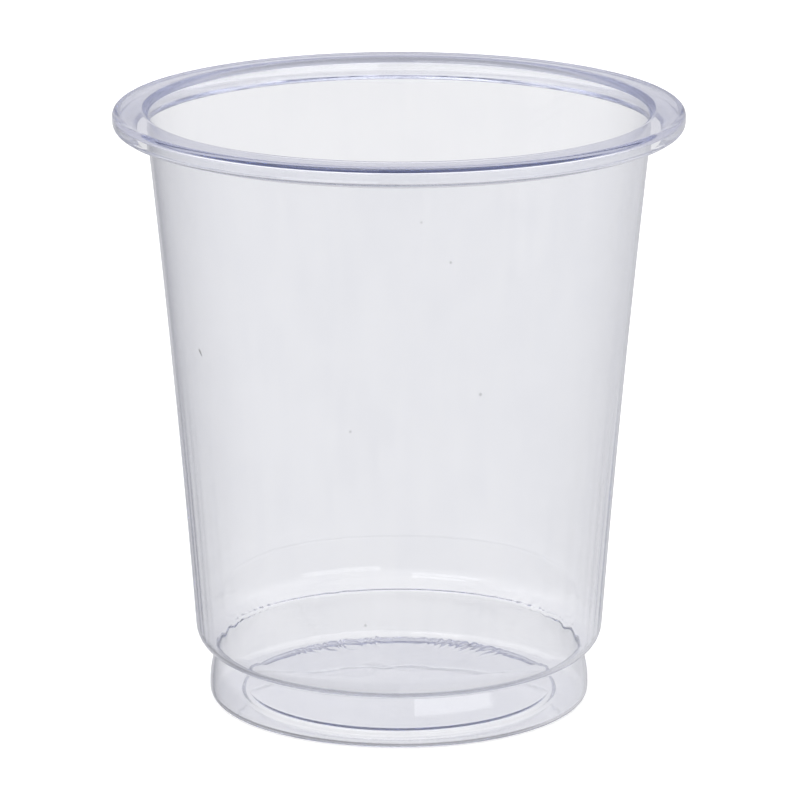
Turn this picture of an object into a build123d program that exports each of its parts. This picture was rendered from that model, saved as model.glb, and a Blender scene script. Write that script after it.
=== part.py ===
"""A thermoformed single-use shot cup: one clear sheet with a rolled rim and a stepped foot."""
from build123d import *
import os

os.makedirs("parts", exist_ok=True)

# Driving sizes of the whole cup, in millimetres. The origin is the middle of the
# resting plane, and +Z runs up the cup's own axis.
rim_diameter = 50.0
overall_height = 53.38
sheet_thickness = 0.3

# Rolled rim. The sheet, thicker here than in the drawn wall, turns outward over a
# level land, down a short skirt and back inward, and thins out to a free edge short
# of the wall. The width is measured from the wall's outer side.
rim_width = 2.8
rim_thickness = 0.55
rim_skirt_height = 1.55
rim_return_width = 2.15
rim_return_drop = 0.65
rim_return_thickness = 0.18
rim_mouth_bend = 0.7
rim_root_bend = 0.15
rim_outer_bend = 0.5
rim_hollow_bend = 0.15
rim_lower_bend = 0.7
rim_edge_bend = 0.07

# Tapered side wall, measured at its foot, and a little hollow between its ends.
wall_foot_diameter = 35.93
wall_hollow = 0.21

# Stacking ledge, where the wall steps in to the neck of the foot.
ledge_width = 1.73
ledge_rise = 0.65
shoulder_bend = 2.4
neck_bend = 0.15

# Foot ring, which flares out and bulges a little between the neck and the table.
foot_height = 4.55
foot_flare = 0.55
foot_bulge = 0.28
foot_bend = 0.85
seat_width = 3.0
seat_bend = 0.45

# Floor, pushed up inside the foot ring so that the cup stands on the ring.
floor_rise = 0.65
floor_step_width = 0.1
floor_bend = 0.1

# Corners of the sheet's outer side, as radius and height, from the middle of the
# floor outward and up to the rim.
shoulder = (wall_foot_diameter / 2, foot_height + ledge_rise)
neck = (shoulder[0] - ledge_width, foot_height)
foot_edge = (neck[0] + foot_flare, 0)
seat_edge = (foot_edge[0] - seat_width, 0)
floor_edge = (seat_edge[0] - floor_step_width, floor_rise)
floor_middle = (0, floor_rise)
wall_top = (rim_diameter / 2 - rim_width, overall_height)

# Corners of the rolled rim's own section, which grows out of the middle of the
# sheet: over the land and down the skirt outside, and back along the inside.
rim_radius = rim_diameter / 2
hollow_radius = rim_radius - rim_thickness
root_radius = wall_top[0] - sheet_thickness / 2
land_underside = overall_height - rim_thickness
skirt_bottom = overall_height - rim_skirt_height
free_radius = rim_radius - rim_return_width
free_bottom = skirt_bottom - rim_return_drop
land_edge = (rim_radius, overall_height)
skirt_edge = (rim_radius, skirt_bottom)
free_edge = (free_radius, free_bottom)
free_edge_top = (free_radius, free_bottom + rim_return_thickness)
hollow_floor = (hollow_radius, skirt_bottom + rim_return_thickness)
hollow_roof = (hollow_radius, land_underside)
root_bottom = (root_radius, land_underside)
root_top = (root_radius, overall_height)

# Each corner with the radius that it is bent to: of the outer side of the sheet,
# before it gets its thickness, and of the rim's finished section.
sheet_bends = (
    (floor_edge, floor_bend),
    (seat_edge, seat_bend),
    (foot_edge, foot_bend),
    (neck, neck_bend),
    (shoulder, shoulder_bend),
)
rim_bends = (
    ((wall_top[0] - sheet_thickness, overall_height), rim_mouth_bend),
    ((wall_top[0], land_underside), rim_root_bend),
    (land_edge, rim_outer_bend),
    (hollow_roof, rim_hollow_bend),
    (hollow_floor, rim_hollow_bend),
    (skirt_edge, rim_lower_bend),
    (free_edge, rim_edge_bend),
    (free_edge_top, rim_edge_bend),
)

# One solid of revolution: the sheet's outer side is drawn first and thickened
# towards the inside of the cup, the rim is added and trimmed level with its land,
# and the rounded section is turned about the cup's axis.
with BuildPart() as cup:
    with BuildSketch(Plane.XZ) as section:
        with BuildLine() as outer_side:
            Polyline(floor_middle, floor_edge, seat_edge, foot_edge)
            SagittaArc(foot_edge, neck, -foot_bulge)
            Line(neck, shoulder)
            SagittaArc(shoulder, wall_top, wall_hollow)
            for corner, bend in sheet_bends:
                fillet(outer_side.vertices().sort_by_distance(corner)[0], bend)
            offset(amount=sheet_thickness, side=Side.LEFT)
        make_face()
        with BuildLine():
            Polyline(root_top, land_edge, skirt_edge, free_edge, free_edge_top,
                     hollow_floor, hollow_roof, root_bottom, close=True)
        make_face()
        with Locations((0, overall_height)):
            Rectangle(rim_diameter, rim_thickness, align=(Align.CENTER, Align.MIN), mode=Mode.SUBTRACT)
        for corner, bend in rim_bends:
            fillet(section.vertices().sort_by_distance(corner)[0], bend)
    revolve(axis=Axis.Z)

cup.part.label = "cup"
export_step(cup.part, "parts/cup.step")
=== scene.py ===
import bpy
import math
import numpy as np
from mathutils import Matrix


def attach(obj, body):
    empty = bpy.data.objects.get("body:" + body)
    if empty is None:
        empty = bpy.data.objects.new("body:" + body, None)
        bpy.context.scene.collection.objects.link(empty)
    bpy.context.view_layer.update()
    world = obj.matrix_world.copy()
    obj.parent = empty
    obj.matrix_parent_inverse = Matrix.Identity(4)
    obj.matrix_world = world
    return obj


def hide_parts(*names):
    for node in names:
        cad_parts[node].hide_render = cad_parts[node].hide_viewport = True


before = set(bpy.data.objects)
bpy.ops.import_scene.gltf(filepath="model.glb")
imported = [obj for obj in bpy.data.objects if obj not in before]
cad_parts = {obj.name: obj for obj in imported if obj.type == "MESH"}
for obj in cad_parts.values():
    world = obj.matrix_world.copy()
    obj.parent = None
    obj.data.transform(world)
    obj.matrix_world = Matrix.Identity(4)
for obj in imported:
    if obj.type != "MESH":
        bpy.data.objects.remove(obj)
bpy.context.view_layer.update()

# The cup.
# One sheet of clear plastic, drawn hot into a mould, so that floor, foot ring,
# stacking ledge and wall are one thin skin. It stays thicker at the mouth, where it
# turns out over a level land, down a short skirt and back in to a thin free edge.

MM = 0.001

sheet_thickness = 0.3
rim_radius = 25.0
cup_height = 53.38

rim_width = 2.8
rim_thickness = 0.55
rim_skirt_height = 1.55
rim_return_width = 2.15
rim_return_drop = 0.65
rim_return_thickness = 0.18
rim_mouth_bend = 0.7
rim_root_bend = 0.15
rim_outer_bend = 0.5
rim_hollow_bend = 0.15
rim_lower_bend = 0.7
rim_edge_bend = 0.07

wall_foot_radius = 17.965
wall_hollow = 0.21

ledge_width = 1.73
ledge_rise = 0.65
shoulder_bend = 2.4
neck_bend = 0.15

foot_height = 4.55
foot_flare = 0.55
foot_bulge = 0.28
foot_bend = 0.85
seat_width = 3.0
seat_bend = 0.45

floor_rise = 0.65
floor_step_width = 0.1
floor_bend = 0.2


class Run:
    """One stretch of the sheet's outer side, straight or gently hollow, between two corners.

    A point's distance from a straight run is its offset along the run's left normal. From a hollow run
    it is the run's own radius less the point's distance from the centre of the arc, with the arc's sign.
    """

    def __init__(self, start, end, hollow=0.0):
        self.start, self.end = np.array(start, float), np.array(end, float)
        chord = self.end - self.start
        length = np.hypot(*chord)
        self.left = np.array([-chord[1], chord[0]]) / length
        self.bow = math.copysign(1, hollow) if hollow else 0
        if hollow:
            self.radius = (length ** 2 / 4 + hollow ** 2) / (2 * abs(hollow))
            self.centre = (self.start + self.end) / 2 + self.left * (self.radius - abs(hollow)) * self.bow

    def distance(self, p):
        """How far the point p lies to the left of the way along the run."""
        if not self.bow:
            return float(np.dot(p - self.start, self.left))
        return self.bow * (self.radius - np.hypot(*(p - self.centre)))

    def normal(self, p):
        """Unit direction to the left of the run at the point p."""
        if not self.bow:
            return self.left
        towards = (self.centre - p) * self.bow
        return towards / np.hypot(*towards)

    def foot(self, p, lift):
        """The point nearest to p on the line that keeps the distance lift from the run."""
        return p - (self.distance(p) - lift) * self.normal(p)

    def stretch(self, a, b, lift, count):
        """Points from a to b: evenly spaced on the chord, and on a hollow run set out to its arc."""
        p = a + (b - a) * np.linspace(0, 1, count)[:, None]
        if self.bow:
            out = p - self.centre
            p = self.centre + out / np.hypot(out[:, 0], out[:, 1])[:, None] * (self.radius - self.bow * lift)
        return p


newton_rounds = 40


def bend_between(first, second, bend):
    """Centre and radius of the bend that joins two lines, each a run and the distance that it keeps.

    The centre keeps one radius from both lines, on the side that they turn to, and is found by Newton's
    method from the corner.
    """
    (run, lift), (onward, other_lift) = first, second
    n, m = run.normal(run.end), onward.normal(onward.start)
    side = math.copysign(bend, n[0] * m[1] - n[1] * m[0])
    p = run.end + (n + m) * side
    for _ in range(newton_rounds):
        miss = [run.distance(p) - lift - side, onward.distance(p) - other_lift - side]
        p = p - np.linalg.solve([run.normal(p), onward.normal(p)], miss)
    return p


def side_points(lines, bends, line_steps, bend_steps):
    """One side of the section, as points along its lines and bends.

    Each line goes from the end of the bend before it to the start of the bend after it, and each bend turns
    about its own centre from the one line's normal to the next one's.
    """
    run, lift = lines[0]
    points, here = [], run.foot(run.start, lift)
    for i, bend in enumerate(bends):
        (run, lift), (onward, other_lift) = lines[i], lines[i + 1]
        centre = bend_between(lines[i], lines[i + 1], bend)
        there, after = run.foot(centre, lift), onward.foot(centre, other_lift)
        points.append(run.stretch(here, there, lift, line_steps[i])[:-1])
        start, turned = math.atan2(*(there - centre)[::-1]), math.atan2(*(after - centre)[::-1])
        sweep = (turned - start + math.pi) % (2 * math.pi) - math.pi
        angle = start + sweep * np.linspace(0, 1, bend_steps[i] + 1)[:-1]
        points.append(centre + bend * np.stack([np.cos(angle), np.sin(angle)], 1))
        here = after
    run, lift = lines[-1]
    points.append(run.stretch(here, run.foot(run.end, lift), lift, line_steps[-1]))
    return np.concatenate(points)


shoulder = (wall_foot_radius, foot_height + ledge_rise)
neck = (shoulder[0] - ledge_width, foot_height)
foot_edge = (neck[0] + foot_flare, 0.0)
seat_edge = (foot_edge[0] - seat_width, 0.0)
floor_edge = (seat_edge[0] - floor_step_width, floor_rise)
wall_top = (rim_radius - rim_width, cup_height)

skirt_bottom = cup_height - rim_skirt_height
free_bottom = skirt_bottom - rim_return_drop
free_middle = (rim_radius - rim_return_width, free_bottom + rim_return_thickness / 2)
hollow_radius = rim_radius - rim_thickness
hollow_floor = (hollow_radius, skirt_bottom + rim_return_thickness)
hollow_roof = (hollow_radius, cup_height - rim_thickness)
free_top = (free_middle[0], free_bottom + rim_return_thickness)
free_low = (free_middle[0], free_bottom)

sheet = [
    Run((0.0, floor_rise), floor_edge),
    Run(floor_edge, seat_edge),
    Run(seat_edge, foot_edge),
    Run(foot_edge, neck, foot_bulge),
    Run(neck, shoulder),
    Run(shoulder, wall_top, -wall_hollow),
]
roll_inside = [Run((wall_top[0], hollow_roof[1]), hollow_roof), Run(hollow_roof, hollow_floor),
               Run(hollow_floor, free_top), Run(free_top, free_middle)]
roll_outside = [Run((wall_top[0] - sheet_thickness, cup_height), (rim_radius, cup_height)),
                Run((rim_radius, cup_height), (rim_radius, skirt_bottom)),
                Run((rim_radius, skirt_bottom), free_low), Run(free_low, free_middle)]

outside_bends = [floor_bend, seat_bend, foot_bend, neck_bend, shoulder_bend]
inside_bends = [floor_bend + sheet_thickness, seat_bend - sheet_thickness, foot_bend - sheet_thickness,
                neck_bend + sheet_thickness, shoulder_bend - sheet_thickness]
line_steps = [14, 3, 4, 9, 4, 46, 4, 3, 4, 2]
bend_steps = [4, 5, 6, 5, 8, 8, 7, 7, 4]

outer = side_points([(run, 0.0) for run in sheet + roll_inside],
                    outside_bends + [rim_root_bend, rim_hollow_bend, rim_hollow_bend, rim_edge_bend],
                    line_steps, bend_steps)
inner = side_points([(run, sheet_thickness) for run in sheet] + [(run, 0.0) for run in roll_outside],
                    inside_bends + [rim_mouth_bend, rim_outer_bend, rim_lower_bend, rim_edge_bend],
                    line_steps, bend_steps)

section = np.concatenate([outer, inner[-2::-1]])
on_inner_side = np.arange(len(section)) >= len(outer)

steps_round = 360

# Unevenness of the skin, in millimetres, drawn with one fixed seed. Waves are counted round the cup, and
# directions are degrees from the right towards the back. A row of four says where an effect starts, is
# full, is still full and ends.
seed = 7

draw_ripple = 0.004
ripple_waves = (24, 95)
ripple_patches = (2, 9)
patch_middle, patch_swing, patch_most = 0.6, 0.5, 2
ripple_heights = (5.5, 9.0, 17.0, 33.0)
wall_least_radius = 16.0

crease_jag = 0.016
jag_waves = (40, 120)
jag_elsewhere = 0.15
jag_right = (12, 22, 42, 54)
jag_left = (132, 140, 154, 166)
jag_heights = (4.0, 4.4, 4.8, 5.4)
neck_least_radius = 15.6

edge_crumple = 0.08
crumple_waves = (35, 150)
crumple_directions = (38, 60, 120, 142)
crumple_radii = (11.8, 13.0, 13.9, 14.2)
crumple_lowest, crumple_highest = 0.4, 1.5

floor_wave = 0.008
floor_ripples = 14
floor_ripple_waves = (0.5, 1.6)
ripple_share = 0.27
floor_wave_radii = (-2, -1, 9, 13)

# Level ridges of the upper wall: direction, half width in degrees, height and half height.
ridge_height = 0.035
ridges = [(-22.0, 9.0, 48.6, 0.45), (-28.0, 11.0, 41.2, 0.6), (-24.0, 7.0, 45.2, 0.25), (-10.0, 6.0, 43.5, 1.0)]


def soft_between(value, low, low_full, high_full, high):
    """1 between low_full and high_full, falling off smoothly to 0 at low and at high."""
    rise = np.clip((value - low) / (low_full - low), 0, 1)
    fall = np.clip((high - value) / (high - high_full), 0, 1)
    return rise * rise * (3 - 2 * rise) * fall * fall * (3 - 2 * fall)


def round_waves(angle, lowest, highest, rng):
    """A random wave round the cup: a sum of cosines of whole numbers of waves, scaled to a spread of 1."""
    waves = np.arange(lowest, highest)
    size, phase = rng.standard_normal(len(waves)), rng.uniform(0, 2 * np.pi, len(waves))
    total = (size * np.cos(waves * angle[..., None] + phase)).sum(-1)
    return total / total.std()


def uneven(radius, height, inner_side, angle):
    """Small unevenness of the drawn sheet, as shifts in radius and in height.

    The inner side of the lower wall has upright draw ripples, the neck's crease is ragged where the sheet
    was drawn tight, the floor is slightly wavy with a crumpled far edge, and the upper wall has a few short
    level ridges.
    """
    rng = np.random.default_rng(seed)
    fine, patch = round_waves(angle, *ripple_waves, rng), round_waves(angle, *ripple_patches, rng)
    on_wall = radius > wall_least_radius
    where = soft_between(height, *ripple_heights) * on_wall * inner_side
    out = draw_ripple * where * fine * np.clip(patch_middle + patch_swing * patch, 0, patch_most)
    degrees = np.degrees(angle)
    jagged = round_waves(angle, *jag_waves, rng)
    tight = jag_elsewhere + np.maximum(soft_between(degrees, *jag_right), soft_between(degrees, *jag_left))
    up = crease_jag * tight * jagged * soft_between(height, *jag_heights) * (radius > neck_least_radius)
    crumpled = round_waves(angle, *crumple_waves, rng) * soft_between(degrees, *crumple_directions)
    at_edge = soft_between(radius, *crumple_radii) * (height > crumple_lowest) * (height < crumple_highest)
    up = up + edge_crumple * crumpled * at_edge
    on_floor = soft_between(radius, *floor_wave_radii) * inner_side
    x, y = radius * np.cos(angle), radius * np.sin(angle)
    for _ in range(floor_ripples):
        wave = rng.uniform(*floor_ripple_waves)
        turn, phase = rng.uniform(0, np.pi), rng.uniform(0, 2 * np.pi)
        ripple = np.cos(wave * (x * np.cos(turn) + y * np.sin(turn)) + phase)
        up = up + floor_wave * ripple_share * ripple * on_floor
    for centre, half_width, level, half_height in ridges:
        out = out - ridge_height * np.exp(-((degrees - centre) / half_width) ** 4
                                          - ((height - level) / half_height) ** 2) * on_wall
    return out, up


def ring_mesh(name, profile):
    """A closed skin of revolution: each point of the profile, given as radius and height, is carried round
    the axis in even steps, and the two ends that lie on the axis become single points."""
    turns, body = steps_round, profile[1:-1]
    angle = np.arange(turns) * (2 * np.pi / turns)
    radius, height, round_angle = np.broadcast_arrays(body[:, 0, None], body[:, 1, None], angle)
    out, up = uneven(radius, height, on_inner_side[1:-1, None], round_angle)
    ring = np.stack([(radius + out) * np.cos(angle), (radius + out) * np.sin(angle), height + up], -1)
    verts = np.concatenate([ring.reshape(-1, 3), [[0, 0, profile[0, 1]], [0, 0, profile[-1, 1]]]]) * MM
    row, col = np.meshgrid(np.arange(len(body) - 1), np.arange(turns), indexing="ij")
    onward = (col + 1) % turns
    quads = np.stack([row * turns + col, row * turns + onward,
                      (row + 1) * turns + onward, (row + 1) * turns + col], -1).reshape(-1, 4)
    here, there = np.arange(turns), (np.arange(turns) + 1) % turns
    last_ring, poles = (len(body) - 1) * turns, len(body) * turns
    under = np.stack([np.full(turns, poles), there, here], 1)
    over = np.stack([np.full(turns, poles + 1), last_ring + here, last_ring + there], 1)
    mesh = bpy.data.meshes.new(name)
    mesh.from_pydata(verts.tolist(), [], quads.tolist() + under.tolist() + over.tolist())
    mesh.polygons.foreach_set("use_smooth", np.ones(len(mesh.polygons), bool))
    mesh.update()
    piece = bpy.data.objects.new(name, mesh)
    bpy.context.collection.objects.link(piece)
    return piece


cup = ring_mesh("clear_cup", section)


class Wire:
    """A shader socket whose sums, differences and products add their own Math nodes."""

    def __init__(self, tree, socket):
        self.tree, self.socket = tree, socket

    def maths(self, operation, *values):
        """A Math node with this socket first and the given values after it."""
        return self.join(operation, self, *values)

    def join(self, operation, *values):
        """A Math node with the given sockets or numbers in order."""
        node = self.tree.nodes.new("ShaderNodeMath")
        node.operation = operation
        for place, value in zip(node.inputs, values):
            if isinstance(value, Wire):
                self.tree.links.new(value.socket, place)
            else:
                place.default_value = value
        return Wire(self.tree, node.outputs[0])

    def __add__(self, other): return self.join("ADD", self, other)
    def __radd__(self, other): return self.join("ADD", other, self)
    def __sub__(self, other): return self.join("SUBTRACT", self, other)
    def __rsub__(self, other): return self.join("SUBTRACT", other, self)
    def __mul__(self, other): return self.join("MULTIPLY", self, other)
    def __rmul__(self, other): return self.join("MULTIPLY", other, self)


class Finish:
    """The nodes of one material or world."""

    def __init__(self, owner):
        owner.use_nodes = True
        self.tree = owner.node_tree
        self.tree.nodes.clear()

    def node(self, kind, settings, sockets, output=0):
        """One node of any kind: its settings first, then the values or links of its sockets."""
        made = self.tree.nodes.new(kind)
        for key, value in settings.items():
            setattr(made, key, value)
        for key, value in sockets.items():
            if isinstance(value, Wire):
                self.tree.links.new(value.socket, made.inputs[key])
            else:
                made.inputs[key].default_value = value
        return Wire(self.tree, made.outputs[output]) if made.outputs else made

    def step(self, value, low, high):
        """0 below low and 1 above high, smooth between them."""
        return self.node("ShaderNodeMapRange", {"interpolation_type": "SMOOTHSTEP"},
                         {"Value": value, "From Min": low, "From Max": high})

    def blend(self, share, first, second):
        """A colour between two colours."""
        return self.node("ShaderNodeMix", {"data_type": "RGBA"}, {"Factor": share, 6: first, 7: second}, 2)


# Small dirt on the wall's outer side: degrees from the front, height, size in millimetres and darkness.
specks = [(20.1, 32.39, 0.16, 0.5), (11.8, 44.36, 0.13, 0.4), (-12.0, 29.27, 0.12, 0.4),
          (5.0, 47.98, 0.11, 0.3), (-9.0, 11.68, 0.14, 0.3), (-57.9, 34.22, 0.14, 0.7),
          (-57.5, 34.05, 0.15, 0.85), (-57.1, 33.86, 0.13, 0.7)]
speck_core, speck_edge = 0.6, 1.3
dirt_tone = (0.12, 0.11, 0.1, 1)

# The plastic's own look. Its depth takes up blue least.
clean_tone = (1.0, 1.0, 1.0, 1)
cloudy_tone = (0.984, 0.985, 0.988, 1)
cloud_scale, cloud_detail = 160.0, 4.0
streak_scale, streak_detail, streak_stretch = 900.0, 2.0, 0.08
cloud_share, cloud_starts, cloud_full = 0.6, 0.42, 0.62
haze_most, haze_starts, haze_full = 0.02, 0.45, 0.75
bending = 1.57
tint, tint_density = (0.18, 0.25, 0.58, 1), 88.0
glimmer_tone = (0.5, 0.57, 0.91, 1)
glimmer_share = 0.015

clear = bpy.data.materials.new("clear_plastic")
finish = Finish(clear)
place = finish.node("ShaderNodeTexCoord", {}, {}, "Object")
cloud = finish.node("ShaderNodeTexNoise", {}, {"Vector": place, "Scale": cloud_scale, "Detail": cloud_detail})
upright = finish.node("ShaderNodeMapping", {}, {"Vector": place, "Scale": (1.0, 1.0, streak_stretch)})
streak = finish.node("ShaderNodeTexNoise", {}, {"Vector": upright, "Scale": streak_scale, "Detail": streak_detail})
cloudy = finish.step(cloud * cloud_share + streak * (1 - cloud_share), cloud_starts, cloud_full)
tone = finish.blend(cloudy, clean_tone, cloudy_tone)
dirt = 0.0
for turned, height, size, darkness in specks:
    share_up = (height - shoulder[1]) / (cup_height - shoulder[1])
    out = shoulder[0] + (wall_top[0] - shoulder[0]) * share_up - 4 * wall_hollow * share_up * (1 - share_up)
    angle = math.radians(turned)
    spot = (out * math.sin(angle) * MM, -out * math.cos(angle) * MM, height * MM)
    gap = finish.node("ShaderNodeVectorMath", {"operation": "DISTANCE"}, {0: place, 1: spot}, "Value")
    dirt = dirt + darkness * (1.0 - finish.step(gap, speck_core * size * MM, speck_edge * size * MM))
tone = finish.blend(dirt, tone, dirt_tone)
haze = finish.step(cloud, haze_starts, haze_full) * haze_most
body = finish.node("ShaderNodeBsdfPrincipled", {}, {"Base Color": tone, "Roughness": haze, "IOR": bending,
                                                    "Transmission Weight": 1.0})
depth = finish.node("ShaderNodeVolumeAbsorption", {}, {"Color": tint, "Density": tint_density})
# A trace of blue scatter inside the sheet, which only shows where light is caught in it for long.
glimmer = finish.node("ShaderNodeBsdfTranslucent", {}, {"Color": glimmer_tone})
surface = finish.node("ShaderNodeMixShader", {}, {0: glimmer_share, 1: body, 2: glimmer})
finish.node("ShaderNodeOutputMaterial", {}, {"Surface": surface, "Volume": depth})
cup.data.materials.append(clear)

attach(cup, "root")
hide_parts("cup")

# The studio.
# A white table under a tent of soft light. The camera sees plain white, and light that
# comes straight through the cup an even backdrop. Other light sees the tent, bright
# overhead, dimmer at the back, sides and below, with a soft box at each side in front.

table_half = 3.0
table_gap = 0.02 * MM
mesh = bpy.data.meshes.new("table_top")
mesh.from_pydata([(-table_half, -table_half, -table_gap), (table_half, -table_half, -table_gap),
                  (table_half, table_half, -table_gap), (-table_half, table_half, -table_gap)], [], [(0, 1, 2, 3)])
table = bpy.data.objects.new("table_top", mesh)
bpy.context.collection.objects.link(table)

plain_white = (1, 1, 1, 1)
table_glow = 0.62
table_paper = (0.55, 0.55, 0.55, 1)

paper = bpy.data.materials.new("white_table")
finish = Finish(paper)
camera_ray = finish.node("ShaderNodeLightPath", {}, {}, "Is Camera Ray")
glow = finish.node("ShaderNodeEmission", {}, {"Color": plain_white, "Strength": table_glow})
matt = finish.node("ShaderNodeBsdfDiffuse", {}, {"Color": table_paper})
seen = finish.node("ShaderNodeAddShader", {}, {0: glow, 1: matt})
open_air = finish.node("ShaderNodeBsdfTransparent", {}, {})
surface = finish.node("ShaderNodeMixShader", {}, {0: camera_ray, 1: open_air, 2: seen})
finish.node("ShaderNodeOutputMaterial", {}, {"Surface": surface})
table.data.materials.append(paper)

# Levels of the light. Of a pair, the first is at the camera's left and the second at its right.
backdrop_seen_through = (0.912, 0.912, 0.922, 1)
level_light = 0.82
overhead_light = 1.5
low_light = 0.66
back_light = 0.62
flank_light = (0.37, 0.7)
under_light = (0.1, 0.42)
under_back_light = 0.42
blue_shade = 0.02
back_blue = 0.055
left_box = 1.3
right_box = 1.1

# Where each part of the tent fades in and out, in degrees above the level and from the back.
overhead_rise = (4.0, 38.0)
low_rise = (-24.0, -6.0)
back_turn, back_rise = (40.0, 70.0), (-36.0, -28.0, 34.0, 52.0)
blue_rise = (-4.0, 4.0, 34.0, 52.0)
flank_turn, flank_rise = (14.0, 26.0, 60.0, 110.0), (-52.0, -44.0, -12.0, -3.0)
under_rise = (-50.0, -38.0)
right_turn = (-12.0, 12.0)
box_turn = (119.0, 124.0, 170.0, 171.2)
left_box_rise, right_box_rise = (34.0, 38.0, 58.0, 64.0), (2.0, 6.0, 22.0, 27.0)

world = bpy.data.worlds.new("studio")
bpy.context.scene.world = world
finish = Finish(world)
camera_ray, ray_depth, passed = (finish.node("ShaderNodeLightPath", {}, {}, name) for name in
                                 ("Is Camera Ray", "Ray Depth", "Transmission Depth"))

# Light that only went through the plastic has passed it at each of its turns, and the counts agree.
count_tolerance = 0.5
straight = (ray_depth - 1.0).maths("COMPARE", passed, count_tolerance)
way = finish.node("ShaderNodeTexCoord", {}, {}, "Generated")
x, y, z = (finish.node("ShaderNodeSeparateXYZ", {}, {"Vector": way}, name) for name in "XYZ")
azimuth = x.maths("ARCTAN2", y) * (180 / math.pi)
turn = azimuth.maths("ABSOLUTE")
rise = z.maths("ARCSINE") * (180 / math.pi)


def towards(level, goal, share):
    """A level moved by a share of the way to a goal."""
    return level + (goal - level) * share


def between(value, foot, top, high_top, high_foot):
    """Nothing up to the foot, all between the two tops, nothing beyond the high foot."""
    return finish.step(value, foot, top) * (1.0 - finish.step(value, high_top, high_foot))


right = finish.step(azimuth, *right_turn)
front = between(turn, *box_turn)
behind = 1.0 - finish.step(turn, *back_turn)

light = towards(level_light, overhead_light, finish.step(rise, *overhead_rise))
light = towards(light, low_light, 1.0 - finish.step(rise, *low_rise))
light = towards(light, back_light, behind * between(rise, *back_rise))
flank = between(turn, *flank_turn) * between(rise, *flank_rise)
light = towards(light, towards(*flank_light, right), flank)
under = towards(towards(*under_light, right), under_back_light, behind)
light = towards(light, under, 1.0 - finish.step(rise, *under_rise))
light = light + left_box * front * (1.0 - right) * between(rise, *left_box_rise)
light = light + right_box * front * right * between(rise, *right_box_rise)
blue = blue_shade + back_blue * behind * between(rise, *blue_rise)
tent = finish.node("ShaderNodeCombineColor", {}, {0: light, 1: light, 2: light + blue})
seen = finish.blend(straight, tent, backdrop_seen_through)
seen = finish.blend(camera_ray, seen, plain_white)
sky = finish.node("ShaderNodeBackground", {}, {"Color": seen, "Strength": 1.0})
finish.node("ShaderNodeOutputWorld", {}, {"Surface": sky})

# The camera.
# It stands as far off and as high as the photograph's, with as long a lens, all fitted
# to the cup's rings. Distances are in millimetres and the pitch is in radians.

camera_distance = 512.0
camera_pitch = 0.2562283
camera_aim_height = 26.953
camera_lens, sensor_width = 260.836, 36.0
photo_width, axis_shift_pixels = 800, 1.029
nearest, farthest = 0.01, 20.0

lens = bpy.data.cameras.new("camera")
lens.sensor_width = sensor_width
lens.lens = camera_lens
lens.shift_x = axis_shift_pixels / photo_width
lens.clip_start, lens.clip_end = nearest, farthest
eye = bpy.data.objects.new("camera", lens)
eye.location = (0.0, -camera_distance * math.cos(camera_pitch) * MM,
                (camera_aim_height + camera_distance * math.sin(camera_pitch)) * MM)
eye.rotation_euler = (math.pi / 2 - camera_pitch, 0.0, 0.0)
bpy.context.collection.objects.link(eye)
bpy.context.scene.camera = eye

bpy.context.scene.view_settings.view_transform = "Standard"

# Light is caught in the thin sheet for many bounces.
bounces = 48
bpy.context.scene.cycles.max_bounces = bounces
bpy.context.scene.cycles.transmission_bounces = bounces
bpy.context.scene.cycles.glossy_bounces = bounces
